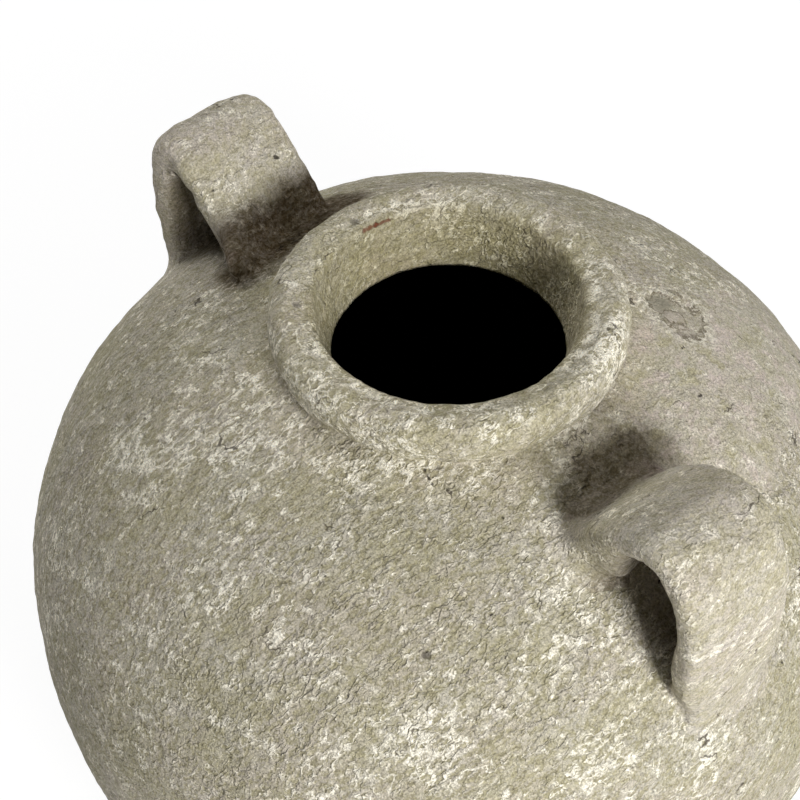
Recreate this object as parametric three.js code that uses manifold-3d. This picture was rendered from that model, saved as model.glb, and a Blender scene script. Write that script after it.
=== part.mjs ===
// A round-bellied terracotta jar with a thick rolled rim and two strap handles.
// It is built as a potter builds it by hand: a base disc, a wall that goes up in bands, each
// left to stiffen before the next, a neck ring, a rim roll and two pulled straps, all luted to
// their neighbours with slip.
// Millimetres, +Z up. The origin is the middle of the flat underside; the handles lie along X.
import * as THREE from "three";
import { mergeVertices } from "three/addons/utils/BufferGeometryUtils.js";
import Module from "manifold-3d";

const wasm = await Module();
wasm.setup();

// Driving dimensions of the pot
const bellyRadius = 190;
const bellyHeight = 158;
const baseRadius = 94;
const lowerSquareness = 2.3; // 2 is an ellipse, more is squarer
const upperRise = 153; // from the belly to where the upper curve would close
const upperSquareness = 2.3;
const wall = 10;
const baseThickness = 14;
const baseEdge = 5; // softened edge under the base

// Heights of the wall's bands. The lower belly fills what is left up to the belly, and the
// shoulder what is left up to the neck.
const footBandHeight = 38;
const lowerWallHeight = 48;
const upperBellyHeight = 68;
const upperWallHeight = 44;

// The neck ring sits in the shoulder's bevelled opening
const neckSeatRadius = 84;
const neckBevel = 8;
const neckRadius = 68; // at the groove under the rim
const neckStand = 3; // how far the rim's seat stands above the shoulder's curve
const throatRadius = 48; // the narrowest place, at the bottom of the throat

// The rim roll lies on the neck ring
const rimRadius = 72.6;
const rimHeight = 20;
const rimMouthRadius = 54; // where the top turns down into the throat
const rimCrown = 1.5; // how far the top stands above its inner corner
const rimInnerRound = 5;
const rimWidest = 9; // how high above its seat the rim is widest
const rimUndercut = 2; // how far the rim's underside rises on its way out
const throatFlare = 2.5; // how much the throat has opened at the rim's seat

// The strap handles: each is pulled by hand, so each has its own width and bend.
// Insets are how far in from the belly's widest the strap's middle line passes the pot's skin,
// and leans are degrees above level. A reach is how far the strap holds its root's direction.
const rightStrap = {
  width: 50.5,
  thickness: 15,
  innerInset: 83,
  innerLean: 66,
  innerReach: 39.5,
  outerInset: 26.5,
  outerLean: 83,
  outerReach: 110.5,
  turn: -2.6, // degrees about the pot, from the X axis
};
const leftStrap = {
  width: 54,
  thickness: 17,
  innerInset: 79,
  innerLean: 51,
  innerReach: 31,
  outerInset: 32,
  outerLean: 82,
  outerReach: 111,
  turn: 182.9,
};
const strapSquareness = 3.2;
const rootSmear = 7; // how far the clay of a root is smeared out over the skin
const smearHeight = 14; // how high above the skin the smear begins
const innerTail = 14; // how far a root runs on under the skin before it is cut
const outerTail = 42;

// Every luted joint that isn't a flat seat keeps this much room for slip
const slipGap = 0.3;

// How finely the curves are cut
const turns = 60;
const skinSteps = 4; // in each band
const liningSteps = 3;
const bodySteps = 24;
const cornerSteps = 4;
const strapSteps = 46;
const strapSides = 20;
const strapEndCrowding = 0.6; // 0 is even, near 1 crowds the rings at the roots
const slopeStep = 0.5; // how far to either side a slope is measured

const clay = (name, color) =>
  new THREE.MeshStandardMaterial({ name, color, roughness: 0.95, metalness: 0 });

const wallClay = clay("wall_clay", 0x9b9480);
const rimClay = clay("rim_clay", 0xa29b84);
const handleClay = clay("handle_clay", 0xa59e8b);

const v2 = (r, z) => new THREE.Vector2(r, z);

// Height of a superellipse of the given half axes, at a radius
function curveHeight(radius, halfWidth, halfHeight, squareness) {
  return halfHeight * (1 - (radius / halfWidth) ** squareness) ** (1 / squareness);
}

// The depth of the lower curve, chosen so that it meets the floor at the base's radius
const lowerDepth = bellyHeight / curveHeight(baseRadius, bellyRadius, 1, lowerSquareness);

// Height of the pot's upper skin at a radius, or of the surface inset from it
const skinHeight = (radius, inset = 0) =>
  bellyHeight + curveHeight(radius, bellyRadius - inset, upperRise - inset, upperSquareness);

// Points of the pot's skin between two heights on one side of the belly, even in its angle
function skin(from, to, inset = 0, steps = inset ? liningSteps : skinSteps) {
  const under = from + to < 2 * bellyHeight;
  const reach = (under ? lowerDepth : upperRise) - inset;
  const squareness = under ? lowerSquareness : upperSquareness;
  const angleAt = (height) => {
    const share = Math.abs(height - bellyHeight) / reach;
    return Math.asin(Math.min(share, 1) ** (squareness / 2)); // rounding can pass 1 at the pole
  };
  const first = angleAt(from);
  const last = angleAt(to);
  return Array.from({ length: steps + 1 }, (_, i) => {
    const angle = first + (last - first) * (i / steps);
    const radius = (bellyRadius - inset) * Math.cos(angle) ** (2 / squareness);
    const height = reach * Math.sin(angle) ** (2 / squareness);
    return v2(radius, bellyHeight + (under ? -height : height));
  });
}

// Radius of the lower skin at a height
const lowerRadius = (height) => skin(height, bellyHeight)[0].x;

// Turns a closed outline about the pot's axis
function turned(outline) {
  const closed = [...outline, outline[0]];
  return new THREE.LatheGeometry(closed, turns).rotateX(Math.PI / 2);
}

// Turns an outline that starts and ends on the axis
const turnedSolid = (outline) =>
  new THREE.LatheGeometry(outline, turns).rotateX(Math.PI / 2);

function toSolid(geometry) {
  const bare = geometry.clone();
  bare.deleteAttribute("normal");
  bare.deleteAttribute("uv");
  const merged = mergeVertices(bare, 1e-4);
  return new wasm.Manifold(
    new wasm.Mesh({
      numProp: 3,
      vertProperties: merged.attributes.position.array,
      triVerts: new Uint32Array(merged.index.array),
    }),
  );
}

function toGeometry(solid) {
  const mesh = solid.getMesh();
  const geometry = new THREE.BufferGeometry();
  geometry.setAttribute("position", new THREE.BufferAttribute(mesh.vertProperties, 3));
  geometry.setIndex(new THREE.BufferAttribute(mesh.triVerts, 1));
  geometry.computeVertexNormals();
  return geometry;
}

// A flat disc whose edge carries on the wall's curve and is softened where it stands
function baseDisc() {
  const outline = new THREE.Path();
  outline.moveTo(0, 0);
  outline.lineTo(baseRadius - baseEdge, 0);
  outline.quadraticCurveTo(baseRadius, 0, lowerRadius(baseEdge), baseEdge);
  outline.lineTo(lowerRadius(baseThickness), baseThickness);
  outline.lineTo(0, baseThickness);
  return turnedSolid(outline.getPoints(cornerSteps));
}

// A ring of the wall between two flat seats
const band = (foot, top) => turned([...skin(foot, top), ...skin(top, foot, wall)]);

// The last ring of the wall, closing in to a bevelled opening
function shoulder(foot) {
  const outside = skin(foot, skinHeight(neckSeatRadius));
  const inside = skin(skinHeight(neckSeatRadius - neckBevel, wall), foot, wall);
  return turned([...outside, ...inside]);
}

const rimSeatHeight = skinHeight(neckRadius) + neckStand;

// The ring that closes the shoulder's opening: outside it sweeps up into the groove under
// the rim, inside it is the lower half of the throat
function neckRing() {
  const bevelGap = slipGap * Math.SQRT2;
  const footRadius = neckSeatRadius - bevelGap;
  const heelRadius = neckSeatRadius - neckBevel - bevelGap;
  const sweep = new THREE.QuadraticBezierCurve(
    v2(footRadius, skinHeight(footRadius)),
    v2(neckRadius, skinHeight(neckRadius)),
    v2(neckRadius, rimSeatHeight),
  );
  const underside = skin(
    skinHeight(throatRadius, wall),
    skinHeight(heelRadius, wall),
    wall,
    cornerSteps,
  );
  return turned([
    ...underside,
    ...sweep.getPoints(cornerSteps + 2),
    v2(throatRadius + throatFlare, rimSeatHeight),
  ]);
}

// The thick lip: nearly flat on top, round outside, with a tighter turn into the throat
function rimRoll() {
  const top = rimSeatHeight + rimHeight;
  const corner = top - rimCrown;
  const widest = rimSeatHeight + rimWidest;
  const brow = rimSeatHeight + rimUndercut;
  const crestRadius = (rimMouthRadius + rimRadius) / 2;
  const outline = new THREE.Path();
  outline.moveTo(neckRadius, rimSeatHeight);
  outline.quadraticCurveTo(rimRadius, brow, rimRadius, widest);
  outline.quadraticCurveTo(rimRadius, top, crestRadius, top);
  outline.lineTo(rimMouthRadius + rimInnerRound, corner);
  outline.quadraticCurveTo(rimMouthRadius, corner, rimMouthRadius, corner - rimInnerRound);
  outline.lineTo(throatRadius + throatFlare, rimSeatHeight);
  return turned(outline.getPoints(cornerSteps + 2));
}

// A point on the line that leans out of the pot's skin at a radius, this far along it
function onLean(radius, lean, distance) {
  const angle = THREE.MathUtils.degToRad(lean);
  const along = new THREE.Vector3(Math.cos(angle), 0, Math.sin(angle));
  return new THREE.Vector3(radius, 0, skinHeight(radius)).addScaledVector(along, distance);
}

// The strap's middle line in its own plane: a straight tail under the skin, the arch, and
// another straight tail
function strapLine(sizes) {
  const { innerLean, innerReach, outerLean, outerReach } = sizes;
  const innerRoot = bellyRadius - sizes.innerInset;
  const outerRoot = bellyRadius - sizes.outerInset;
  const line = new THREE.CurvePath();
  const inner = onLean(innerRoot, innerLean, 0);
  const outer = onLean(outerRoot, outerLean, 0);
  line.add(new THREE.LineCurve3(onLean(innerRoot, innerLean, -innerTail), inner));
  line.add(
    new THREE.CubicBezierCurve3(
      inner,
      onLean(innerRoot, innerLean, innerReach),
      onLean(outerRoot, outerLean, outerReach),
      outer,
    ),
  );
  line.add(new THREE.LineCurve3(outer, onLean(outerRoot, outerLean, -outerTail)));
  return line;
}

// The skin's normal over or under a point, from the slope of its curve there
function skinNormal(point) {
  const radius = Math.min(Math.hypot(point.x, point.y), bellyRadius - 2 * slopeStep);
  const rise = skinHeight(radius + slopeStep) - skinHeight(radius - slopeStep);
  const slope = rise / (2 * slopeStep);
  return new THREE.Vector3(-slope * point.x, -slope * point.y, radius).normalize();
}

// How far a point stands off the pot's skin, below it if negative
function standOff(point, normal) {
  const radius = Math.min(Math.hypot(point.x, point.y), bellyRadius);
  return (point.z - skinHeight(radius)) * normal.z;
}

// Near the pot the strap's clay is smeared out along the skin, the more the nearer
function smeared(point, outward) {
  const normal = skinNormal(point);
  const rest = 1 - THREE.MathUtils.clamp(standOff(point, normal) / smearHeight, 0, 1);
  const alongSkin = outward.clone().addScaledVector(normal, -outward.dot(normal)).normalize();
  return point.clone().addScaledVector(alongSkin, rootSmear * rest ** 2);
}

const squared = (value) => Math.sign(value) * Math.abs(value) ** (2 / strapSquareness);

// A strap of rounded section along its middle line, with smeared roots
function strap(sizes) {
  const line = strapLine(sizes);
  const across = new THREE.Vector3(0, 1, 0);
  const positions = [];
  for (let i = 0; i <= strapSteps; i++) {
    const even = i / strapSteps;
    const crowd = (strapEndCrowding * Math.sin(2 * Math.PI * even)) / (2 * Math.PI);
    const centre = line.getPointAt(even - crowd);
    const along = line.getTangentAt(even - crowd);
    const over = new THREE.Vector3().crossVectors(along, across);
    for (let j = 0; j < strapSides; j++) {
      const angle = (2 * Math.PI * j) / strapSides;
      const point = centre
        .clone()
        .addScaledVector(across, (squared(Math.cos(angle)) * sizes.width) / 2)
        .addScaledVector(over, (squared(Math.sin(angle)) * sizes.thickness) / 2);
      const outward = across
        .clone()
        .multiplyScalar(Math.cos(angle))
        .addScaledVector(over, Math.sin(angle));
      positions.push(...smeared(point, outward).toArray());
    }
  }
  const geometry = new THREE.BufferGeometry();
  geometry.setAttribute("position", new THREE.Float32BufferAttribute(positions, 3));
  geometry.setIndex(tubeFaces(strapSteps, strapSides));
  return geometry;
}

// Triangles of a closed tube of rings, with a flat cap at each end
function tubeFaces(steps, sides) {
  const faces = [];
  const at = (i, j) => i * sides + (j % sides);
  for (let i = 0; i < steps; i++) {
    for (let j = 0; j < sides; j++) {
      faces.push(at(i, j), at(i, j + 1), at(i + 1, j));
      faces.push(at(i, j + 1), at(i + 1, j + 1), at(i + 1, j));
    }
  }
  for (let j = 1; j < sides - 1; j++) {
    faces.push(at(0, 0), at(0, j + 1), at(0, j));
    faces.push(at(steps, 0), at(steps, j), at(steps, j + 1));
  }
  return faces;
}

// Everything inside the pot's upper skin and a slip gap beyond it, which cuts the roots
function potBody() {
  const top = bellyHeight + upperRise + slipGap;
  const dome = skin(bellyHeight, top, -slipGap, bodySteps);
  return turnedSolid([v2(0, 0), v2(bellyRadius + slipGap, 0), ...dome]);
}

// The strap's roots are cut to the pot's curve, and only the arch outside it is kept
function strapHandle(sizes) {
  const cut = toSolid(strap(sizes)).subtract(toSolid(potBody()));
  const bySize = cut.decompose().sort((a, b) => b.volume() - a.volume());
  return toGeometry(bySize[0]);
}

const jar = new THREE.Group();
jar.name = "jar";

function add(name, geometry, material, turn = 0) {
  const mesh = new THREE.Mesh(geometry, material);
  mesh.name = name;
  mesh.rotation.z = THREE.MathUtils.degToRad(turn);
  jar.add(mesh);
}

add("base_disc", baseDisc(), wallClay);

const footBandTop = baseThickness + footBandHeight;
const lowerWallTop = footBandTop + lowerWallHeight;
const upperBellyTop = bellyHeight + upperBellyHeight;
const upperWallTop = upperBellyTop + upperWallHeight;
add("foot_band", band(baseThickness, footBandTop), wallClay);
add("lower_wall", band(footBandTop, lowerWallTop), wallClay);
add("lower_belly", band(lowerWallTop, bellyHeight), wallClay);
add("upper_belly", band(bellyHeight, upperBellyTop), wallClay);
add("upper_wall", band(upperBellyTop, upperWallTop), wallClay);
add("shoulder", shoulder(upperWallTop), wallClay);

add("neck_ring", neckRing(), rimClay);
add("rim_roll", rimRoll(), rimClay);
add("handle_right", strapHandle(rightStrap), handleClay, rightStrap.turn);
add("handle_left", strapHandle(leftStrap), handleClay, leftStrap.turn);

export default jar;
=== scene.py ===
# A round-bellied jar of weathered terracotta, with a rolled rim and two strap handles.
# Sizes in the dictionaries are millimetres and degrees, apart from the studio's; meshes are
# written in metres.
import math

import bpy
import numpy as np
from mathutils import Matrix, Vector


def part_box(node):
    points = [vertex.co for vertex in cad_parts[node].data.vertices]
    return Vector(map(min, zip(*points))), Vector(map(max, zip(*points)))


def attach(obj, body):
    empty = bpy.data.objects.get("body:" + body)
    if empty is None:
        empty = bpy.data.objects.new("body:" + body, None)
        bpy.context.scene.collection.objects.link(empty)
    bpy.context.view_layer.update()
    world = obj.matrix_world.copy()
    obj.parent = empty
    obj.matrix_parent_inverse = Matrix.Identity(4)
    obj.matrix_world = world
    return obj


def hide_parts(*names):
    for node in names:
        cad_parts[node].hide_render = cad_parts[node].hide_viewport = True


mm = 0.001

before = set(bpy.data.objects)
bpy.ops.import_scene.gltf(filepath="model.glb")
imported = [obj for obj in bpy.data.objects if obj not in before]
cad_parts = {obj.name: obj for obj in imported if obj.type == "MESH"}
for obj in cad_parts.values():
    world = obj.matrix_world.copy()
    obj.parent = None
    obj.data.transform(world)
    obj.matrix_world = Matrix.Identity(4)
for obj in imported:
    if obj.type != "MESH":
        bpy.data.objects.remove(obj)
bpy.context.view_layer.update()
scene = bpy.context.scene
print("frame loaded:", len(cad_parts), "clay pieces")


class Wire:  # a node's output; arithmetic on it adds Math nodes to the same tree
    def __init__(self, graph, socket):
        self.graph = graph
        self.socket = socket

    def __add__(self, other):
        return self.graph.math("ADD", self, other)

    def __sub__(self, other):
        return self.graph.math("SUBTRACT", self, other)

    def __rsub__(self, other):
        return self.graph.math("SUBTRACT", other, self)

    def __mul__(self, other):
        return self.graph.math("MULTIPLY", self, other)

    def __truediv__(self, other):
        return self.graph.math("DIVIDE", self, other)

    def __rtruediv__(self, other):
        return self.graph.math("DIVIDE", other, self)

    def __abs__(self):
        return self.graph.math("ABSOLUTE", self)

    __radd__ = __add__


class Graph:  # a node tree, for shading or for shaping
    def __init__(self, tree):
        self.tree = tree

    def node(self, kind, settings=None, values=None, out=0):
        made = self.tree.nodes.new(kind)
        for name, value in (settings or {}).items():
            setattr(made, name, value)
        for key, value in (values or {}).items():
            if isinstance(value, Wire):
                self.tree.links.new(value.socket, made.inputs[key])
            else:
                made.inputs[key].default_value = value
        return Wire(self, made.outputs[out]) if made.outputs else None

    def math(self, operation, *values):
        return self.node("ShaderNodeMath", {"operation": operation}, dict(enumerate(values)))

    def vector(self, operation, first, second, out=0):
        key = "Scale" if operation == "SCALE" else 1
        return self.node("ShaderNodeVectorMath", {"operation": operation}, {0: first, key: second}, out)

    def combined(self, x, y, z):
        return self.node("ShaderNodeCombineXYZ", None, {0: x, 1: y, 2: z})

    def noise(self, place, size, detail=2.0, roughness=0.5, out=0):
        values = {"Vector": place, "Scale": 1 / size, "Detail": detail, "Roughness": roughness}
        return self.node("ShaderNodeTexNoise", {"noise_dimensions": "3D"}, values, out)

    def smooth(self, value, low, high):  # 0 below low, 1 above high, soft between
        ends = {"Value": value, "From Min": low, "From Max": high}
        if low > high:
            ends = {"Value": value, "From Min": high, "From Max": low, "To Min": 1.0, "To Max": 0.0}
        return self.node("ShaderNodeMapRange", {"interpolation_type": "SMOOTHSTEP"}, ends)

    def mix(self, share, first, second, blend="MIX"):  # colours
        settings = {"data_type": "RGBA", "blend_type": blend}
        return self.node("ShaderNodeMix", settings, {0: share, 6: first, 7: second}, 2)

    # Pulls a pattern out along one direction: features get longer there by the stretch
    def wiped(self, place, direction, stretch):
        along = self.vector("DOT_PRODUCT", place, direction, 1)
        back = self.vector("SCALE", direction, along * (1 - 1 / stretch))
        return self.vector("SUBTRACT", place, back)


def emptied(owner):  # the tree of a material or a world, with nothing in it yet
    owner.use_nodes = True
    owner.node_tree.nodes.clear()
    return Graph(owner.node_tree)


def paint(red, green, blue):  # an sRGB colour, 0 to 255, as Blender's linear one
    share = [value / 255 for value in (red, green, blue)]
    linear = [v / 12.92 if v <= 0.04045 else ((v + 0.055) / 1.055) ** 2.4 for v in share]
    return (*linear, 1.0)


# The wet hand drew the slip up and round the jar, so its streaks follow one direction
wipe = {"direction": (0.14, 0.90, 0.43), "stretch": 1.9, "stroke": 3.0}

# How far noise leads a pattern off its course
astray = {
    "curl size": 2.4,
    "curl": 2.2,
    "waver": 1.8,
    "drift size": 8.0,
    "drift": 14.0,
    "elsewhere": (310.0, 120.0, 70.0),  # far enough off for a pattern of its own
}

# Clay

clay = {
    "grey": paint(189, 183, 167),
    "olive": paint(172, 165, 134),
    "mauve": paint(189, 179, 167),
    "rose": paint(199, 185, 177),
    "cream": paint(249, 243, 226),
    "valley": paint(150, 143, 108),
    # painted shade for the deepest wrinkle valleys and the chip's broken edges
    "paintedCreviceShade": paint(104, 94, 72),
    "pit": paint(52, 45, 38),
    # a dark line colour: for real cracks, and for the painted shadow lines under lifted edges
    "darkLine": paint(70, 62, 50),
    "scar": paint(146, 141, 124),
    "rust": paint(122, 68, 50),
    # the brown of soot and of painted shade at the handles
    "sootAndShade": paint(116, 101, 79),
    "throat": paint(230, 228, 213),
    # painted shade: the inside of the jar, dark all over
    "paintedInnerShade": paint(14, 12, 10),
    "patch size": 20,
    "olive share": 0.6,
    "mauve share": 0.5,
    "calm size": 110,
    "cloud size": 10,
    "cloud share": 0.75,
    "cluster size": 34,
    "thickness size": 6.0,
    "mottle size": 2.1,
    "mottle strength": 1.0,
    "wrinkle size": 2.0,
    "wrinkle depth": 1.2,
    "ridge sizes": (5.6, 3.5, 2.3),
    "ridge depths": (0.48, 0.40, 0.30),
    "ridge half width": 0.33,
    "thread size": 21,
    "flake depth": 0.45,
    "grain size": 0.8,
    "grain strength": 1.5,
    "grain depth": 0.08,
    "lifted edge size": 5.2,
    "lifted area size": 6.0,
    "pits": ((9.0, 0.55), (23.0, 1.3)),  # spacing, half width
    "pit depth": 0.5,
    "crack size": 34,
    "roughness": 0.93,
    "specular": 0.25,
}

# Single marks of use and weather: places, reaches and depths in millimetres
marks = {
    "cream": [  # place, reach, strength
        ((132, -61, 267), 30, 0.07),
        ((129, -102, 245), 24, 0.08),
        ((112, -107, 257), 22, 0.07),
        ((137, -24, 303), 22, 0.10),
        ((-45, -122, 278), 34, 0.11),
        ((0, -112, 290), 24, 0.08),
        ((20, -140, 272), 30, 0.07),
        ((61, -38, 305), 16, 0.2),
        ((-38, 36, 320), 18, 0.14),
        ((62, -28, 327), 16, 0.08),
        ((-125, -20, 312), 20, 0.14),
    ],
    "calm": ((70, 104, 272), 125, 0.34),
    # darker places by the handles' roots and under the right arch, partly soot and partly painted
    # shade: place, reach, strength
    "sootAndShade": [
        ((-107, 22, 294), 24, 0.95),
        ((-104, 4, 294), 26, 0.95),
        ((-101, -16, 296), 25, 0.95),
        ((-98, -32, 300), 24, 0.9),
        ((-134, -7, 268), 34, 0.95),
        ((136, -6, 262), 28, 0.5),
        ((94, -12, 297), 15, 0.65),
        ((90, 1, 298), 19, 0.75),
        ((91, 14, 297), 18, 0.75),
        ((93, 26, 296), 14, 0.5),
    ],
    "spots": [  # place, reach, colour, strength, depth
        ((-59.4, -0.2, 326.0), 2.8, "pit", 0.6, 0.5),
        ((-44.9, -42.5, 327.4), 1.6, "cream", 1.0, 0.0),
        ((-35.9, -48.4, 326.8), 2.2, "pit", 0.5, 0.5),
        ((-124.3, 6.8, 315.9), 1.7, "pit", 0.9, 0.8),
        ((95.9, -94.6, 275.8), 2.4, "pit", 0.7, 0.4),
    ],
    "cracks": [  # both ends, half width, colour, strength, depth
        ((-54.8, 0.8, 323.6), (-54.3, 6.8, 323.7), 1.3, "rust", 0.8, 0.5),
        ((-54.3, 6.8, 323.7), (-53.3, 13.0, 323.5), 1.3, "rust", 0.8, 0.5),
        ((-53.0, 13.5, 324.6), (-50.8, 22.3, 325.2), 1.3, "cream", 0.8, -0.3),
        ((-50.8, 22.3, 325.2), (-47.0, 30.1, 325.4), 1.3, "cream", 0.6, -0.3),
        ((-127.0, -32.0, 315.0), (-124.0, -27.0, 316.0), 0.8, "pit", 0.85, 0.6),
        ((47.3, -53.2, 304.6), (53.2, -54.8, 302.5), 0.7, "pit", 0.85, 0.6),
        ((42.9, -101.3, 290.2), (50.9, -105.4, 287.0), 0.6, "pit", 0.85, 0.6),
        ((112.5, -68.2, 278.5), (118.1, -77.4, 271.0), 0.5, "darkLine", 0.85, 0.5),
        ((169.8, 26.2, 234.5), (185.3, 26.6, 190.2), 0.7, "pit", 0.8, 0.6),
    ],
    "chips": [  # place, reach: two hollows that meet, and the flake
        ((40.0, 83.5, 298.4), 8.0),
        ((48.0, 86.5, 295.2), 12.5),
        ((48.5, 82.5, 295.6), 6.5),
    ],
    "chip relief": (1.1, 0.5),  # the hollow's depth and the flake's height, in the shape
    "chip bump": (0.25, 0.15),  # what the material adds to them
    "fray": (3.4, 1.2),  # the size and strength of the chip's broken edge
    # a painted highlight: more cream along the rim's inner edge
    "crest": (58.0, 3.5, 0.12),  # the rim's inner edge: its radius, half width, strength
}


# Near 1 at a place and 0 beyond its reach
def spotAt(g, where, place, reach, core=0.4):
    away = g.vector("DISTANCE", where, place, 1)
    return g.smooth(away, reach, reach * core)


def crackAt(g, where, first, last, width):
    way = Vector(last) - Vector(first)
    fromFirst = g.vector("SUBTRACT", where, first)
    share = g.vector("DOT_PRODUCT", fromFirst, tuple(way / way.length_squared), 1)
    along = g.vector("SCALE", tuple(way), g.smooth(share, 0.0, 1.0))
    return g.smooth(g.vector("DISTANCE", fromFirst, along, 1), width, width * 0.4)


def slipMaterial(name, tint, lightness, creamShare, reliefShare):
    material = bpy.data.materials.new(name)
    g = emptied(material)
    place = g.vector("SCALE", g.node("ShaderNodeTexCoord", out="Object"), 1 / mm)
    streaks = g.wiped(place, wipe["direction"], wipe["stretch"])

    def unrest(size, detail):  # noise that points any way
        return g.vector("SUBTRACT", g.noise(place, size, detail, out="Color"), (0.5, 0.5, 0.5))

    def led(where, way, reach):
        return g.vector("ADD", where, g.vector("SCALE", way, reach))

    # Places led astray, so that ridges get curly edges and single marks ragged ones
    curl = unrest(astray["curl size"], 1.0)
    curled = led(streaks, curl, astray["curl"])
    elsewhere = g.vector("ADD", curled, astray["elsewhere"])
    ragged = led(place, unrest(astray["drift size"], 2.0), astray["drift"])
    wavy = led(place, curl, astray["waver"])

    # Calm places, rubbed smooth, where the slip is thin and mauve
    centre, reach, strength = marks["calm"]
    calmest = spotAt(g, place, centre, reach, 0.1) * strength
    calm = g.smooth(g.noise(place, clay["calm size"], 2.0) + calmest, 0.58, 0.76)
    rough = (1 - calm * 0.55) * reliefShare

    # Soft patches of the slip's three greys
    patch = clay["patch size"]
    olive = g.smooth(g.noise(streaks, patch, 5.0, 0.7), 0.40, 0.60)
    mauve = g.smooth(g.noise(elsewhere, patch * 1.6, 5.0, 0.7) + calm * 0.06, 0.42, 0.62)
    colour = g.mix(olive * (clay["olive share"] - calm * 0.25), clay["grey"], clay["olive"])
    colour = g.mix(mauve * clay["mauve share"], colour, clay["mauve"])
    clouds = g.noise(elsewhere, clay["cloud size"], 4.0, 0.7)
    for low, high, shade in ((0.52, 0.64, "olive"), (0.50, 0.38, "rose")):
        cloudy = g.smooth(clouds, low, high) * calm * clay["cloud share"]
        colour = g.mix(cloudy, colour, clay[shade])
    colour = g.mix(1.0, colour, tint, "MULTIPLY")

    # Where the cream slip gathers, and how thick it lies
    gathers = g.noise(elsewhere, clay["cluster size"], 3.0, 0.65) + creamShare
    for centre, reach, strength in marks["cream"]:
        gathers = gathers + spotAt(g, place, centre, reach, 0.0) * strength
    level = g.vector("MULTIPLY", place, (1.0, 1.0, 0.0))
    fromAxis = g.vector("DISTANCE", level, (0.0, 0.0, 0.0), 1)
    # A painted highlight along the rim's inner edge, given as more cream there
    crestRadius, crestHalf, strength = marks["crest"]
    gathers = gathers + g.smooth(abs(fromAxis - crestRadius), crestHalf, 0.0) * strength
    clusters = g.smooth(gathers - calm * 0.08, 0.45, 0.76)
    thick = g.noise(place, clay["thickness size"], 3.0, 0.7)
    thickness = g.smooth(thick + clusters * 0.14, 0.48, 0.70)

    # Wrinkles, like those of wet paper: olive in the valleys, painted shade in the deepest of them, and
    # cream on the tops, partly slip and partly painted highlight
    wrinkles = g.noise(curled, clay["wrinkle size"], 4.0, 0.66)
    height = wrinkles * rough * (clay["wrinkle depth"] * mm)
    colour = g.mix(g.smooth(wrinkles, 0.53, 0.42) * rough * 0.65, colour, clay["valley"])
    colour = g.mix(g.smooth(wrinkles, 0.40, 0.28) * rough * 0.35, colour, clay["paintedCreviceShade"])
    top = g.smooth(wrinkles + clusters * 0.09, 0.57, 0.64) * rough
    colour = g.mix(top * thickness * 0.9, colour, clay["cream"])

    # Ridges with olive valleys and thin cream crests; the crests' cream is partly slip, partly painted
    # highlight
    for size, depth in zip(clay["ridge sizes"], clay["ridge depths"]):
        away = abs(g.noise(curled, size, 2.0, 0.55) - 0.5)
        kept = g.smooth(g.noise(elsewhere, size * 1.7, 1.0, 0.6), 0.52, 0.55) * rough
        half = 0.5 * clay["ridge half width"] / size
        height = height + g.smooth(away, half * 2.6, 0.0) * kept * (depth * mm)
        colour = g.mix(g.smooth(away, half * 2, half * 6) * rough * 0.25, colour, clay["olive"])
        crest = g.smooth(away, half * 0.9, half * 0.3) * kept
        colour = g.mix(crest * thickness, colour, clay["cream"])

    # Long thin threads of cream
    away = abs(g.noise(curled, clay["thread size"], 3.0, 0.6) - 0.5)
    kept = g.smooth(gathers, 0.50, 0.56) * rough
    thread = g.smooth(away, 0.009, 0.004) * kept
    colour = g.mix(thread * 0.7, colour, clay["cream"])

    # Cream flakes, wiped along in the clusters
    strokes = led(g.wiped(place, wipe["direction"], wipe["stroke"]), curl, astray["waver"])
    mottle = g.noise(strokes, clay["mottle size"], 4.0, 0.7)
    cream = g.smooth(mottle + clusters * 0.10, 0.66, 0.70)
    height = height + g.smooth(mottle, 0.62, 0.68) * (clay["flake depth"] * mm)
    colour = g.mix(cream * (thickness + 0.1), colour, clay["cream"])

    # Mottle and grain
    grain = g.noise(place, clay["grain size"], 1.0, 0.6)
    uneven = (mottle - 0.5) * (clay["mottle strength"] * reliefShare) * (1 - calm * 0.25)
    shade = uneven + (grain - 0.5) * clay["grain strength"] + lightness
    colour = g.mix(1.0, colour, g.combined(shade, shade, shade), "MULTIPLY")
    height = height + grain * (clay["grain depth"] * mm)

    # Painted shadow: thin dark lines, as in the shade under lifted edges of the slip
    edge = abs(g.noise(elsewhere, clay["lifted edge size"], 2.0, 0.6) - 0.5)
    area = g.noise(streaks, clay["lifted area size"], 2.0, 0.6)
    shadowLine = g.smooth(edge, 0.025, 0.01) * g.smooth(area, 0.64, 0.70)
    colour = g.mix(shadowLine * rough * 0.45, colour, clay["darkLine"])

    # Pits where grit fell out
    for spacing, width in clay["pits"]:
        spot = {"Vector": curled, "Scale": 1 / spacing}
        away = g.node("ShaderNodeTexVoronoi", {"feature": "F1"}, spot) * spacing
        lot = g.noise(place, spacing * 2.1, 1.0)
        pit = g.smooth(away, width, width * 0.45) * g.smooth(lot, 0.50, 0.58)
        colour = g.mix(pit * 0.9, colour, clay["pit"])
        height = height - pit * (clay["pit depth"] * mm)

    # Hairline cracks
    crackLine = abs(g.noise(curled, clay["crack size"], 3.0, 0.55) - 0.5)
    crackPlace = g.smooth(g.noise(elsewhere, clay["crack size"] / 2, 1.0), 0.56, 0.64)
    darkLine = g.smooth(crackLine, 0.0045, 0.0015) * crackPlace
    colour = g.mix(darkLine * 0.8, colour, clay["darkLine"])

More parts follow.
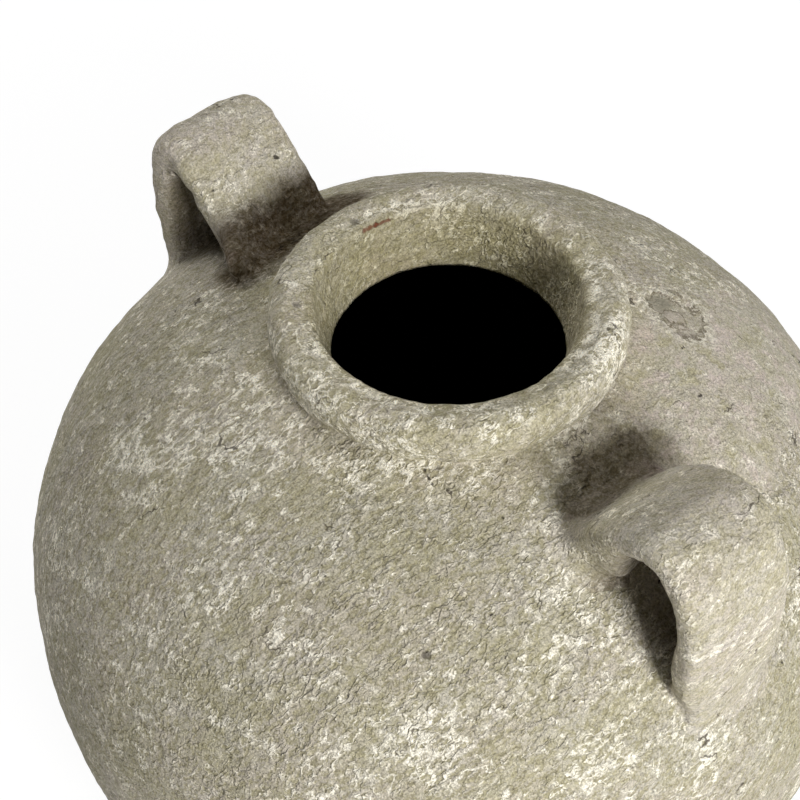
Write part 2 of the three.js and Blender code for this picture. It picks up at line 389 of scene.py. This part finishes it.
    # A chip on the shoulder, with a flake left standing in it
    size, strength = marks["fray"]
    fray = (g.noise(place, size, 4.0, 0.7) - 0.5) * strength
    near = [
        g.vector("DISTANCE", ragged, centre, 1) / reach + fray for centre, reach in marks["chips"]
    ]
    nearest = g.math("MINIMUM", near[0], near[1])
    chip = g.smooth(nearest, 1.0, 0.75)
    flake = g.smooth(near[2], 1.0, 0.7)
    broken = g.smooth(mottle, 0.34, 0.52)
    lip = g.smooth(nearest, 1.45, 1.05) * (1 - chip) * g.smooth(mottle, 0.46, 0.60)
    colour = g.mix(lip * 0.7, colour, clay["cream"])
    colour = g.mix(chip * (0.2 + g.smooth(near[0], 1.2, 0.3) * 0.7), colour, clay["scar"])
    colour = g.mix(flake * 0.3, colour, clay["rose"])
    # Painted shade along the broken edges of the chip and its flake
    edges = chip * (1 - chip) * 3.6 + flake * (1 - flake) * 3.4
    colour = g.mix(edges * broken, colour, clay["paintedCreviceShade"])
    hollow, standing = marks["chip bump"]
    height = height - chip * (hollow * mm) + flake * (standing * mm)

    # Single spots and cracks
    for centre, reach, shade, strength, depth in marks["spots"]:
        spot = spotAt(g, wavy, centre, reach)
        colour = g.mix(spot * strength, colour, clay[shade])
        height = height - spot * (depth * mm)
    for first, last, width, shade, strength, depth in marks["cracks"]:
        line = crackAt(g, wavy, first, last, width)
        colour = g.mix(line * strength, colour, clay[shade])
        height = height - line * (depth * mm)

    # Darkening at the handles' roots and under the arches: partly brown soot, partly painted shade
    sheltered = g.node("ShaderNodeAttribute", {"attribute_name": "sheltered"}, out="Fac")
    sootAndShade = sheltered * 0.55
    for centre, reach, strength in marks["sootAndShade"]:
        sootAndShade = g.math("MAXIMUM", sootAndShade, spotAt(g, ragged, centre, reach, 0.45) * strength)
    sootAndShade = sootAndShade * (1.5 - wrinkles * 1.1)
    colour = g.mix(sootAndShade, colour, g.mix(1.0, colour, clay["sootAndShade"], "MULTIPLY"))

    # The throat is darker and greener
    high = g.smooth(g.vector("DOT_PRODUCT", place, (0.0, 0.0, 1.0), 1), 150, 250)
    throat = g.smooth(fromAxis, 61, 52) * high
    colour = g.mix(throat, colour, g.mix(1.0, colour, clay["throat"], "MULTIPLY"))

    # Painted shade: the jar's inside wall is near black all over
    lining = g.node("ShaderNodeAttribute", {"attribute_name": "lining"}, out="Fac")
    colour = g.mix(lining, colour, clay["paintedInnerShade"])
    normal = g.node("ShaderNodeBump", None, {"Strength": 1.0, "Distance": 1.0, "Height": height})
    looks = {
        "Base Color": colour,
        "Roughness": clay["roughness"],
        "Specular IOR Level": clay["specular"],
        "Normal": normal,
    }
    shader = g.node("ShaderNodeBsdfPrincipled", None, looks)
    g.node("ShaderNodeOutputMaterial", None, {"Surface": shader})
    return material


# Each slip's name, tint, lightness, share of cream and share of relief
slips = {
    "wall_clay": slipMaterial("weathered wall slip", paint(255, 255, 255), 1.04, 0.0, 1.0),
    "rim_clay": slipMaterial("weathered rim slip", paint(255, 254, 251), 1.06, 0.03, 0.9),
    "handle_clay": slipMaterial("weathered handle slip", paint(252, 251, 255), 1.12, -0.04, 0.7),
}
print("slip materials made")

# Shaping trees

relief = {
    "Lump Size": 42.0,
    "Lump Depth": 2.4,
    "Dimple Size": 13.0,
    "Dimple Depth": 1.1,
    "Flake Size": 5.0,
    "Flake Depth": 0.7,
    "Seed": 3.0,
}

weldReach = 0.002  # points of a turned piece nearer to each other are joined


def shapingTree(name, extras):
    tree = bpy.data.node_groups.new(name, "GeometryNodeTree")
    tree.interface.new_socket("Geometry", in_out="INPUT", socket_type="NodeSocketGeometry")
    for label in relief:
        made = tree.interface.new_socket(label, in_out="INPUT", socket_type="NodeSocketFloat")
        made.default_value = relief[label]
    for label, kind in extras.items():
        tree.interface.new_socket(label, in_out="INPUT", socket_type=kind)
    tree.interface.new_socket("Slip", in_out="INPUT", socket_type="NodeSocketMaterial")
    tree.interface.new_socket("Geometry", in_out="OUTPUT", socket_type="NodeSocketGeometry")
    return Graph(tree)


def treeInput(g, label):
    return g.node("NodeGroupInput", out=label)


# How far the hand-made surface stands off its smooth form at a place
def handMade(g, place):
    seeded = g.vector("ADD", place, g.combined(treeInput(g, "Seed"), 0.0, 0.0))
    streaks = g.wiped(seeded, wipe["direction"], wipe["stretch"])
    height = None
    for layer, field in (("Lump", seeded), ("Dimple", seeded), ("Flake", streaks)):
        bumps = g.noise(field, treeInput(g, layer + " Size") * mm, 1.0) - 0.5
        part = bumps * treeInput(g, layer + " Depth") * mm
        height = part if height is None else height + part

    # The chip on the shoulder is a shallow hollow, and its flake stands up in it
    where = g.vector("SCALE", place, 1 / mm)
    near = [g.vector("DISTANCE", where, centre, 1) / reach for centre, reach in marks["chips"]]
    chip = g.smooth(g.math("MINIMUM", near[0], near[1]), 1.05, 0.8)
    flake = g.smooth(near[2], 1.0, 0.6)
    hollow, standing = marks["chip relief"]
    return height - (chip * hollow - flake * standing) * mm


def finishTree(g, shape):
    whole = g.node("GeometryNodeRealizeInstances", None, {0: shape})
    slip = {"Geometry": whole, "Material": treeInput(g, "Slip")}
    g.node("NodeGroupOutput", None, {0: g.node("GeometryNodeSetMaterial", None, slip)})
    return g.tree


def named(g, label, kind):
    settings = {"data_type": kind}
    return g.node("GeometryNodeInputNamedAttribute", settings, {"Name": label})


def stored(g, shape, label, kind, value):
    settings = {"data_type": kind, "domain": "POINT"}
    return g.node(
        "GeometryNodeStoreNamedAttribute", settings, {"Geometry": shape, "Name": label, "Value": value}
    )


# Turns a drawn profile about the jar's axis and roughens it
def turningTree():
    g = shapingTree("turned clay", {"Columns": "NodeSocketInt"})
    profile = treeInput(g, "Geometry")
    rows = g.node("GeometryNodeAttributeDomainSize", {"component": "MESH"}, {"Geometry": profile})
    sizes = {
        "Size X": 1.0,
        "Size Y": 1.0,
        "Vertices X": treeInput(g, "Columns") + 1,
        "Vertices Y": rows,
    }
    grid = g.node("GeometryNodeMeshGrid", None, sizes)
    spot = g.node("GeometryNodeInputPosition")
    across = g.node("ShaderNodeSeparateXYZ", None, {0: spot}, "X") + 0.5
    up = g.node("ShaderNodeSeparateXYZ", None, {0: spot}, "Y") + 0.5
    row = g.node("ShaderNodeMath", {"operation": "ROUND"}, {0: up * (rows - 1)})
    angle = across * math.tau

    def onProfile(field, kind):
        values = {"Geometry": profile, "Value": field, "Index": row}
        return g.node("GeometryNodeSampleIndex", {"data_type": kind, "domain": "POINT"}, values)

    def turned(field):
        values = {"Vector": field, "Angle": angle}
        return g.node("ShaderNodeVectorRotate", {"rotation_type": "Z_AXIS"}, values)

    here = turned(onProfile(g.node("GeometryNodeInputPosition"), "FLOAT_VECTOR"))
    outward = turned(onProfile(named(g, "outward", "FLOAT_VECTOR"), "FLOAT_VECTOR"))
    shape = grid
    for label in ("lining", "amount", "corner"):
        value = onProfile(named(g, label, "FLOAT"), "FLOAT")
        shape = stored(g, shape, label, "FLOAT", value)
    shape = stored(g, shape, "outward", "FLOAT_VECTOR", outward)
    shape = g.node("GeometryNodeSetPosition", None, {"Geometry": shape, "Position": here})
    shape = roughened(g, shape)
    welded = {"Geometry": shape, "Distance": weldReach * mm}
    return finishTree(g, g.node("GeometryNodeMergeByDistance", None, welded))


def roughened(g, shape):
    height = handMade(g, g.node("GeometryNodeInputPosition")) * named(g, "amount", "FLOAT")
    offset = g.vector("SCALE", named(g, "outward", "FLOAT_VECTOR"), height)
    return g.node("GeometryNodeSetPosition", None, {"Geometry": shape, "Offset": offset})


def roughTree():
    g = shapingTree("rough clay", {})
    return finishTree(g, roughened(g, treeInput(g, "Geometry")))


turnedClay = turningTree()
roughClay = roughTree()
print("shaping trees made")


# Runs a shaping tree over a mesh and keeps the result as a plain mesh
def shaped(name, mesh, tree, slot, settings):
    draft = bpy.data.objects.new(name + "_draft", mesh)
    scene.collection.objects.link(draft)
    modifier = draft.modifiers.new("clay", "NODES")
    modifier.node_group = tree
    wanted = {**settings, "Slip": slips[slot]}
    for item in tree.interface.items_tree:
        if item.in_out == "INPUT" and item.name in wanted:
            modifier[item.identifier] = wanted[item.name]
    evaluated = draft.evaluated_get(bpy.context.evaluated_depsgraph_get())
    piece = bpy.data.objects.new(name, bpy.data.meshes.new_from_object(evaluated))
    piece.data.name = name
    bpy.data.objects.remove(draft)
    bpy.data.meshes.remove(mesh)
    scene.collection.objects.link(piece)
    piece.data.shade_smooth()
    return piece


def withAttributes(mesh, values):
    for label, numbers in values.items():
        kind = "FLOAT_VECTOR" if np.ndim(numbers) == 2 else "FLOAT"
        made = mesh.attributes.new(label, kind, "POINT")
        made.data.foreach_set("vector" if kind == "FLOAT_VECTOR" else "value", np.ravel(numbers))
    return mesh


# The pot's form

pot = {
    "belly radius": 190.0,
    "belly height": 158.0,
    "base radius": 94.0,
    "squareness": 2.3,
    "rise": 153.0,
    "wall": 10.0,
    "base edge": 5.0,
    "neck seat radius": 84.0,
    "neck bevel": 8.0,
    "neck radius": 68.0,
    "throat radius": 48.0,
    "throat flare": 2.5,
    "columns": 720,
    "skin spacing": 1.65,
    "lining spacing": 7.0,
    "edge spacing": 1.2,
    "base wall spacing": 1.6,
    "plain foot": 6.0,  # how high the relief takes to reach its full depth
    "under rings": 18,
    "seat rings": 6,
    "fine steps": 400,
}


def curveShare(share):  # how high a superellipse of half axes 1 and 1 is at that share of its width
    return (1 - share ** pot["squareness"]) ** (1 / pot["squareness"])


pot["depth"] = pot["belly height"] / curveShare(pot["base radius"] / pot["belly radius"])


def seatTop(node):
    return round(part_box(node)[1].z / mm, 3)


def halfAxes(above, inset=0.0):
    return pot["belly radius"] - inset, (pot["rise"] if above else pot["depth"]) - inset


def skinHeight(radius, inset=0.0):
    width, reach = halfAxes(True, inset)
    return pot["belly height"] + reach * curveShare(radius / width)


def skinOutward(radius, height, inset=0.0):
    width, reach = halfAxes(height >= pot["belly height"], inset)
    rise = height - pot["belly height"]
    power = pot["squareness"] - 1
    slope = np.array(
        [(radius / width) ** power / width, np.sign(rise) * (abs(rise) / reach) ** power / reach]
    )
    return slope / np.linalg.norm(slope)


# Points of the wall's curve between two heights, evenly spaced, with its outward directions
def skinCurve(low, high, inset=0.0):
    above = low + high > 2 * pot["belly height"]
    width, reach = halfAxes(above, inset)
    shares = np.abs(np.array([low, high]) - pot["belly height"]) / reach
    angles = np.linspace(*np.arcsin(shares ** (pot["squareness"] / 2)), pot["fine steps"])
    radii = width * np.cos(angles) ** (2 / pot["squareness"])
    rises = reach * np.sin(angles) ** (2 / pot["squareness"])
    heights = pot["belly height"] + rises * (1 if above else -1)
    curve = np.column_stack([radii, heights])
    curve[0, 1], curve[-1, 1] = low, high
    points = evenly(curve, pot["lining spacing" if inset else "skin spacing"])
    return points, np.array([skinOutward(r, z, inset) for r, z in points])


def evenly(curve, spacing):
    steps = np.linalg.norm(np.diff(curve, axis=0), axis=1)
    lengths = np.concatenate([[0], np.cumsum(steps)])
    count = max(2, round(lengths[-1] / spacing) + 1)
    wanted = np.linspace(0, lengths[-1], count)
    return np.column_stack([np.interp(wanted, lengths, curve[:, axis]) for axis in (0, 1)])


def bezier(*corners, steps=40):
    share = np.linspace(0, 1, steps)[:, None]
    corners = [np.array(corner, float) for corner in corners]
    while len(corners) > 1:
        corners = [a + (b - a) * share for a, b in zip(corners, corners[1:])]
    return corners[0]


# Outward directions of a drawn stretch: square to it, on the right of its way
def square(points):
    way = np.gradient(points, axis=0)
    way /= np.linalg.norm(way, axis=1)[:, None]
    return np.column_stack([way[:, 1], -way[:, 0]])


def stretch(points, outward=None, lining=0.0, amount=1.0):
    points = np.asarray(points, float)
    outward = square(points) if outward is None else outward
    corner = np.zeros(len(points))
    corner[[0, -1]] = 1
    fill = np.ones(len(points))
    return [points, outward, fill * lining, fill * amount, corner]


# A turned piece: its stretches run on from each other, anticlockwise, and a seat joins each gap
def turnedPiece(name, slot, stretches, closed=True, settings=None):
    if closed:
        stretches = [*stretches, [part[:1] for part in stretches[0]]]
    points, outward, lining, amount, corner = (np.concatenate(part) for part in zip(*stretches))
    flat = np.zeros(len(points))
    mesh = bpy.data.meshes.new(name + "_profile")
    edges = [(i, i + 1) for i in range(len(points) - 1)]
    mesh.from_pydata(np.column_stack([points[:, 0], flat, points[:, 1]]) * mm, edges, [])
    sides = np.column_stack([outward[:, 0], flat, outward[:, 1]])
    withAttributes(mesh, {"outward": sides, "lining": lining, "amount": amount, "corner": corner})
    return shaped(name, mesh, turnedClay, slot, {"Columns": pot["columns"], **(settings or {})})


def bandPiece(name, low, high):
    outside = stretch(*skinCurve(low, high))
    inside = stretch(*(side[::-1] for side in skinCurve(low, high, pot["wall"])), lining=1.0)
    return turnedPiece(name, "wall_clay", [outside, inside])


def basePiece():
    top = seatTop("base_disc")
    edge = pot["base edge"]
    side = skinCurve(edge, top)[0]
    wayUp = evenly(side, pot["base wall spacing"])
    foot = pot["base radius"] - edge
    rings = pot["under rings"]
    under = np.column_stack([np.linspace(0, foot, rings), np.zeros(rings)])
    turn = evenly(bezier((foot, 0), (pot["base radius"], 0), side[0]), pot["edge spacing"])
    points = np.concatenate([under, turn[1:], wayUp[1:]])
    amount = np.clip(points[:, 1] / pot["plain foot"], 0, 1)
    outward = square(points)
    outward[-1] = skinOutward(*points[-1])
    outside = stretch(points, outward, amount=amount)
    rings = pot["seat rings"]
    seat = np.column_stack([np.linspace(points[-1, 0], 0, rings), np.full(rings, top)])[1:]
    inside = stretch(seat, np.tile((0.0, 1.0), (len(seat), 1)), lining=1.0, amount=0.0)
    inside[4][:] = 1  # all of it counts as seat, and keeps its own flat shading
    return turnedPiece("base_disc_clay", "wall_clay", [outside, inside], closed=False)


def shoulderPiece(low):
    outside = stretch(*skinCurve(low, skinHeight(pot["neck seat radius"])))
    heel = skinHeight(pot["neck seat radius"] - pot["neck bevel"], pot["wall"])
    inside = stretch(*(side[::-1] for side in skinCurve(low, heel, pot["wall"])), lining=1.0)
    return turnedPiece("shoulder_clay", "wall_clay", [outside, inside])


def neckPiece():
    seat = seatTop("neck_ring")
    foot = pot["neck seat radius"]
    neck = pot["neck radius"]
    drawn = bezier((foot, skinHeight(foot)), (neck, skinHeight(neck)), (neck, seat))
    sweep = evenly(drawn, pot["edge spacing"])
    sweepOut = square(sweep)
    sweepOut[0] = skinOutward(*sweep[0])
    outside = stretch(sweep, sweepOut)
    flared = pot["throat radius"] + pot["throat flare"]
    throatFoot = skinHeight(pot["throat radius"], pot["wall"])
    ends = np.array([(flared, seat), (pot["throat radius"], throatFoot)])
    throat = evenly(ends, pot["edge spacing"])
    heel = foot - pot["neck bevel"]
    under, underOut = skinCurve(skinHeight(heel, pot["wall"]), throatFoot, pot["wall"])
    points = np.concatenate([throat, under[::-1][1:]])
    throatOut = np.tile((-1.0, 0.0), (len(throat), 1))
    outward = np.concatenate([throatOut, -underOut[::-1][1:]])
    inside = stretch(points, outward)
    inside[2][len(throat) :] = 1.0
    return turnedPiece("neck_ring_clay", "rim_clay", [outside, inside])


rim = {
    "radius": 72.6,
    "mouth radius": 54.0,
    "crown": 1.5,
    "inner round": 5.0,
    "widest": 9.0,
    "undercut": 2.0,
    "spacing": 1.1,
    "relief": {"Dimple Depth": 2.0, "Flake Depth": 1.1},
}


def rimPiece():
    seat = seatTop("neck_ring")
    top = seatTop("rim_roll")
    outer, mouth = rim["radius"], rim["mouth radius"]
    corner = top - rim["crown"]
    crest = (outer + mouth) / 2
    flared = pot["throat radius"] + pot["throat flare"]
    widest = seat + rim["widest"]
    inner = mouth + rim["inner round"]
    low = corner - rim["inner round"]
    strokes = [
        bezier((pot["neck radius"], seat), (outer, seat + rim["undercut"]), (outer, widest)),
        bezier((outer, widest), (outer, top), (crest, top)),
        bezier((crest, top), (inner, corner)),
        bezier((inner, corner), (mouth, corner), (mouth, low)),
        bezier((mouth, low), (flared, seat)),
    ]
    curve = np.concatenate([strokes[0], *(stroke[1:] for stroke in strokes[1:])])
    points = evenly(curve, rim["spacing"])
    outward = square(points)
    outward[0], outward[-1] = (1, 0), (-1, 0)
    whole = [stretch(points, outward)]
    return turnedPiece("rim_roll_clay", "rim_clay", whole, settings=rim["relief"])


turnedPieces = {"base_disc": basePiece()}
lowest = seatTop("base_disc")
for band in ("foot_band", "lower_wall", "lower_belly", "upper_belly", "upper_wall"):
    turnedPieces[band] = bandPiece(band + "_clay", lowest, seatTop(band))
    lowest = seatTop(band)
turnedPieces["shoulder"] = shoulderPiece(lowest)
turnedPieces["neck_ring"] = neckPiece()
turnedPieces["rim_roll"] = rimPiece()
print("turned pieces made")


def readout(source, label, width=1, kind=float):
    values = np.empty(len(source) * width, kind)
    source.foreach_get(label, values)
    return values.reshape(-1, width) if width > 1 else values


seamGrid = 0.01 * mm  # points of two pieces nearer to each other are one place


# Where two pieces meet, both take the shading direction of the skin that runs across them
def smoothSeams(pieces):
    seams = {}
    facts = []
    for piece in pieces:
        mesh = piece.data
        vertexOf = readout(mesh.loops, "vertex_index", kind=int)
        corner = readout(mesh.attributes["corner"].data, "value")
        lining = readout(mesh.attributes["lining"].data, "value")
        place = readout(mesh.vertices, "co", 3)
        starts = readout(mesh.polygons, "loop_start", kind=int)
        totals = readout(mesh.polygons, "loop_total", kind=int)
        normals = readout(mesh.polygons, "normal", 3)
        areas = readout(mesh.polygons, "area")
        face = np.repeat(np.arange(len(totals)), totals)
        seat = np.add.reduceat(corner[vertexOf], starts) > totals - 0.01
        weighted = normals * (areas * ~seat)[:, None]
        sums = np.zeros_like(place)
        np.add.at(sums, vertexOf, weighted[face])
        atSeam = np.flatnonzero((corner > 0.99) & (lining < 0.5))
        keys = [tuple(key) for key in np.round(place[atSeam] / seamGrid).astype(int)]
        for key, index in zip(keys, atSeam):
            seams[key] = seams.get(key, 0) + sums[index]
        facts.append((mesh, vertexOf, face, normals, seat, sums, atSeam, keys))
    for mesh, vertexOf, face, normals, seat, sums, atSeam, keys in facts:
        for key, index in zip(keys, atSeam):
            sums[index] = seams[key]
        lengths = np.maximum(np.linalg.norm(sums, axis=1), 1e-12)
        directions = (sums / lengths[:, None])[vertexOf]
        directions[seat[face]] = normals[face][seat[face]]
        mesh.normals_split_custom_set(directions)


smoothSeams(turnedPieces.values())
print("seams smoothed")

# Strap handles

handleForm = {
    "squareness": 3.2,
    "rings": 120,
    "sides": 104,
    "fillet rings": 12,
    "step": 0.4,
    "tail": (14.0, 42.0),
    "sink": 0.4,  # how deep a root's edge lies under the skin
    "tuck": 1.5,  # how far beyond that edge the root's hidden end lies, along the skin
    "bury": 3.0,  # and how far below it
    "far share": 0.3,  # the lumps' strength on the strap's other side
    "toe at": (-2.0, 12.0),  # centre and reach along from the root
    "toe spread": 0.7,
    "taper at": (-2.0, 14.0),
    "relief": {"Dimple Size": 11.0, "Dimple Depth": 2.4, "Flake Depth": 1.0},
    "right": {
        "width": 50.5,
        "thickness": 15.0,
        "insets": (83.0, 26.5),
        "leans": (66.0, 83.0),
        "reaches": (39.5, 110.5),
        "fillets": ((10.0, 12.0, 12.0), (5.0, 2.5, 12.0)),  # inside the arch, at its edge, outside
        "near": -1,  # the side that gets the lumps, the taper and the toe
        "lumps": (("inner", 18.0, 11.0, 16.0), ("outer", 4.5, 32.0, 13.0), ("outer", 5.0, 0.0, 12.0)),
        "taper": 8.0,
        "toe": 0.0,
        "turn": -2.6,
    },
    "left": {
        "width": 54.0,
        "thickness": 17.0,
        "insets": (79.0, 32.0),
        "leans": (51.0, 82.0),
        "reaches": (31.0, 111.0),
        "fillets": ((8.0, 3.0, 5.0), (8.0, 8.0, 8.0)),
        "near": 1,
        "lumps": (("inner", 2.0, 4.0, 10.0), ("outer", 10.0, 69.0, 14.0)),
        "taper": 0.0,
        "toe": 44.0,
        "turn": 182.9,
    },
}


def onLean(radius, lean, distance):
    angle = math.radians(lean)
    rise = distance * math.sin(angle)
    return np.array([radius + distance * math.cos(angle), skinHeight(radius) + rise])


# The strap's middle line in its own plane, evenly spaced: tail, arch, tail
def strapLine(form):
    roots = [pot["belly radius"] - inset for inset in form["insets"]]
    leans, reaches, tails = form["leans"], form["reaches"], handleForm["tail"]
    starts = [onLean(roots[k], leans[k], 0) for k in (0, 1)]
    ends = [onLean(roots[k], leans[k], -tails[k]) for k in (0, 1)]
    pulls = [onLean(roots[k], leans[k], reaches[k]) for k in (0, 1)]
    arch = bezier(starts[0], pulls[0], pulls[1], starts[1], steps=pot["fine steps"])
    return evenly(np.concatenate([[ends[0]], arch, [ends[1]]]), handleForm["step"])


def skinNormal(points):
    radii = np.clip(np.hypot(points[:, 0], points[:, 1]), 1, pot["belly radius"] - 1)
    slope = np.array([(skinHeight(r + 0.5) - skinHeight(r - 0.5)) for r in radii])
    normal = np.column_stack([-slope * points[:, 0], -slope * points[:, 1], radii])
    return normal / np.linalg.norm(normal, axis=1)[:, None]


def standOff(points):
    radii = np.minimum(np.hypot(points[:, 0], points[:, 1]), pot["belly radius"] - 0.01)
    heights = np.array([skinHeight(r) for r in radii])
    return (points[:, 2] - heights) * skinNormal(points)[:, 2]


def squared(value):
    return np.sign(value) * np.abs(value) ** (2 / handleForm["squareness"])


# Clay pressed on inside the arch: each lump's root, size, and centre and reach along from that root
def lumpsAlong(line, lumps):
    steps = np.arange(len(line)) * handleForm["step"]
    inner, outer = handleForm["tail"]
    fromRoot = {"inner": steps - inner, "outer": steps[-1] - outer - steps}
    return sum(
        size * np.exp(-(((fromRoot[root] - centre) / reach) ** 2))
        for root, size, centre, reach in lumps
    )


def filletAt(sizes, angle):
    inside, edge, outside = sizes
    broad = outside if math.sin(angle) > 0 else inside
    return edge + (broad - edge) * math.sin(angle) ** 2


# One lengthwise line of the strap, from the foot of one root to the foot of the other
def strapColumn(form, line, way, angle):
    over = np.column_stack([-way[:, 1], np.zeros(len(way)), way[:, 0]])
    near = max(0.0, math.cos(angle) * form["near"])
    inside, outside = max(0.0, -math.sin(angle)), max(0.0, math.sin(angle))
    far = handleForm["far share"]
    lumps = lumpsAlong(line, form["lumps"]) * inside * (far + (1 - far) * near)
    toe = lumpsAlong(line, [("inner", form["toe"], *handleForm["toe at"])]) * near * outside
    toe = toe * handleForm["toe spread"]
    taper = lumpsAlong(line, [("outer", form["taper"], *handleForm["taper at"])]) * near
    across = squared(math.cos(angle)) * form["width"] / 2 + (toe - taper) * form["near"]
    out = squared(math.sin(angle)) * form["thickness"] / 2 - lumps + toe
    middle = np.column_stack([line[:, 0], across, line[:, 1]])
    points = middle + over * out[:, None]
    height = standOff(points)
    sideways = np.array([0.0, math.cos(angle), 0.0]) + over * math.sin(angle)
    above = np.flatnonzero(height > 0)
    feet = []
    for root, end, step in ((0, above[0], 1), (1, above[-1], -1)):
        fillet = filletAt(form["fillets"][root], angle)
        start = end
        while height[start] < fillet:
            start += step
        normal = skinNormal(points[end : end + 1])[0]
        along = sideways[end] - normal * sideways[end].dot(normal)
        along /= np.linalg.norm(along)
        foot = points[end] + along * fillet
        foot = foot - normal * (standOff(foot[None])[0] + handleForm["sink"])
        buried = foot + along * handleForm["tuck"] - normal * handleForm["bury"]
        curve = bezier(points[start], points[end], foot, steps=handleForm["fillet rings"])
        feet.append((start, curve, buried))
    (first, inner, innerEnd), (last, outer, outerEnd) = feet
    shares = np.linspace(first, last, handleForm["rings"])
    arch = np.column_stack([np.interp(shares, np.arange(len(points)), points[:, k]) for k in (0, 1, 2)])
    return np.concatenate([[innerEnd], inner[::-1][:-1], arch, outer[1:], [outerEnd]])


def strapPiece(name, form):
    line = strapLine(form)
    way = np.gradient(line, axis=0)
    way /= np.linalg.norm(way, axis=1)[:, None]
    angles = np.linspace(0, math.tau, handleForm["sides"], endpoint=False)
    grid = np.array([strapColumn(form, line, way, angle) for angle in angles]).transpose(1, 0, 2)
    rows, sides = grid.shape[:2]
    alongWay = np.gradient(grid, axis=0)
    around = (np.roll(grid, -1, axis=1) - np.roll(grid, 1, axis=1)) / 2
    outward = np.cross(around, alongWay)
    outward /= np.maximum(np.linalg.norm(outward, axis=2), 1e-9)[:, :, None]
    caps = [grid[0].mean(axis=0), grid[-1].mean(axis=0)]
    points = np.concatenate([grid.reshape(-1, 3), caps])
    turn = np.array(Matrix.Rotation(math.radians(form["turn"]), 3, "Z"))
    points = points @ turn.T
    sideways = np.concatenate([outward.reshape(-1, 3), np.zeros((2, 3))]) @ turn.T
    faces = []
    for i in range(rows - 1):
        for j in range(sides):
            k = (j + 1) % sides
            faces.append((i * sides + j, i * sides + k, (i + 1) * sides + k, (i + 1) * sides + j))
    last = (rows - 1) * sides
    for j in range(sides):
        k = (j + 1) % sides
        faces.append((rows * sides, k, j))
        faces.append((rows * sides + 1, last + j, last + k))
    mesh = bpy.data.meshes.new(name + "_form")
    mesh.from_pydata(points * mm, [], faces)
    ones = np.ones(len(points))

    # The face under the arch, darkened with soot and with painted shade
    sheltered = np.append(np.tile(np.clip(-2 * np.sin(angles) - 0.4, 0, 1), rows), (0, 0))
    withAttributes(
        mesh, {"outward": sideways, "lining": ones * 0, "amount": ones, "sheltered": sheltered}
    )
    return shaped(name, mesh, roughClay, "handle_clay", handleForm["relief"])


handles = {
    "handle_right": strapPiece("handle_right_clay", handleForm["right"]),
    "handle_left": strapPiece("handle_left_clay", handleForm["left"]),
}
print("handles made")

for node, piece in {**turnedPieces, **handles}.items():
    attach(piece, "root")
    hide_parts(node)
print("pieces placed on the frame")

# Studio: metres and radians, but degrees for the lamps
studio = {
    "camera place": (0.3536, -0.3074, 0.7919),
    "look azimuth": math.atan2(0.656, -0.755),
    "look down": math.radians(48.35),
    "lens": 74.7,
    "shift": (-0.061, 0.0),
    "world level": 0.02,
    "far level": 0.885,  # as pale as the floor is far from the lamps
    "lamps": {  # azimuth, elevation, size in metres, watts
        "key": (-10.0, 23.0, 0.45, 23.2),
        "back": (175.0, 28.0, 0.6, 9.2),
        "right low": (90.0, 5.0, 0.6, 7.1),
        "left low": (-100.0, 5.0, 0.6, 2.3),
        "top": (0.0, 90.0, 0.8, 6.6),
    },
    "lamp distance": 1.6,
    "lamp aim": (0.0, 0.0, 0.2),
    "floor reach": 6.0,
    "floor grey": 0.9,
    "floor glow": 1.1,
    "glow share": 0.8,
}


def towards(azimuth, elevation):
    level = math.cos(elevation)
    return Vector((math.cos(azimuth) * level, math.sin(azimuth) * level, math.sin(elevation)))


def makeCamera():
    camera = bpy.data.objects.new("camera", bpy.data.cameras.new("camera"))
    scene.collection.objects.link(camera)
    look = towards(studio["look azimuth"], -studio["look down"])
    camera.location = studio["camera place"]
    camera.rotation_euler = look.to_track_quat("-Z", "Y").to_euler()
    camera.data.lens = studio["lens"]
    camera.data.shift_x, camera.data.shift_y = studio["shift"]
    camera.data.clip_start = 0.01
    scene.camera = camera


def makeLights():
    for name, (azimuth, elevation, size, watts) in studio["lamps"].items():
        lamp = bpy.data.objects.new(name + " light", bpy.data.lights.new(name + " light", "AREA"))
        scene.collection.objects.link(lamp)
        way = towards(math.radians(azimuth), math.radians(elevation))
        lamp.location = Vector(studio["lamp aim"]) + way * studio["lamp distance"]
        lamp.rotation_euler = (-way).to_track_quat("-Z", "Y").to_euler()
        lamp.data.size = size
        lamp.data.energy = watts

    scene.world = bpy.data.worlds.new("studio")
    g = emptied(scene.world)
    seen = g.node("ShaderNodeLightPath", out="Is Camera Ray")
    soft, pale = (
        g.node("ShaderNodeBackground", None, {"Color": (1, 1, 1, 1), "Strength": studio[level]})
        for level in ("world level", "far level")
    )
    both = g.node("ShaderNodeMixShader", None, {0: seen, 1: soft, 2: pale})
    g.node("ShaderNodeOutputWorld", None, {"Surface": both})


def makeFloor():
    reach = studio["floor reach"]
    mesh = bpy.data.meshes.new("floor")
    corners = [(-reach, -reach, 0), (reach, -reach, 0), (reach, reach, 0), (-reach, reach, 0)]
    mesh.from_pydata(corners, [], [(0, 1, 2, 3)])
    floor = bpy.data.objects.new("floor", mesh)
    scene.collection.objects.link(floor)
    material = bpy.data.materials.new("pale floor")
    g = emptied(material)
    seen = g.node("ShaderNodeLightPath", out="Is Camera Ray")
    grey = studio["floor grey"]
    matt = g.node("ShaderNodeBsdfDiffuse", None, {"Color": (grey, grey, grey, 1)})
    shine = {"Color": (1, 1, 1, 1), "Strength": studio["floor glow"]}
    glow = g.node("ShaderNodeEmission", None, shine)
    both = g.node("ShaderNodeMixShader", None, {0: seen * studio["glow share"], 1: matt, 2: glow})
    g.node("ShaderNodeOutputMaterial", None, {"Surface": both})
    mesh.materials.append(material)


makeCamera()
makeLights()
makeFloor()
scene.view_settings.view_transform = "Standard"
print("camera, lights and floor made")
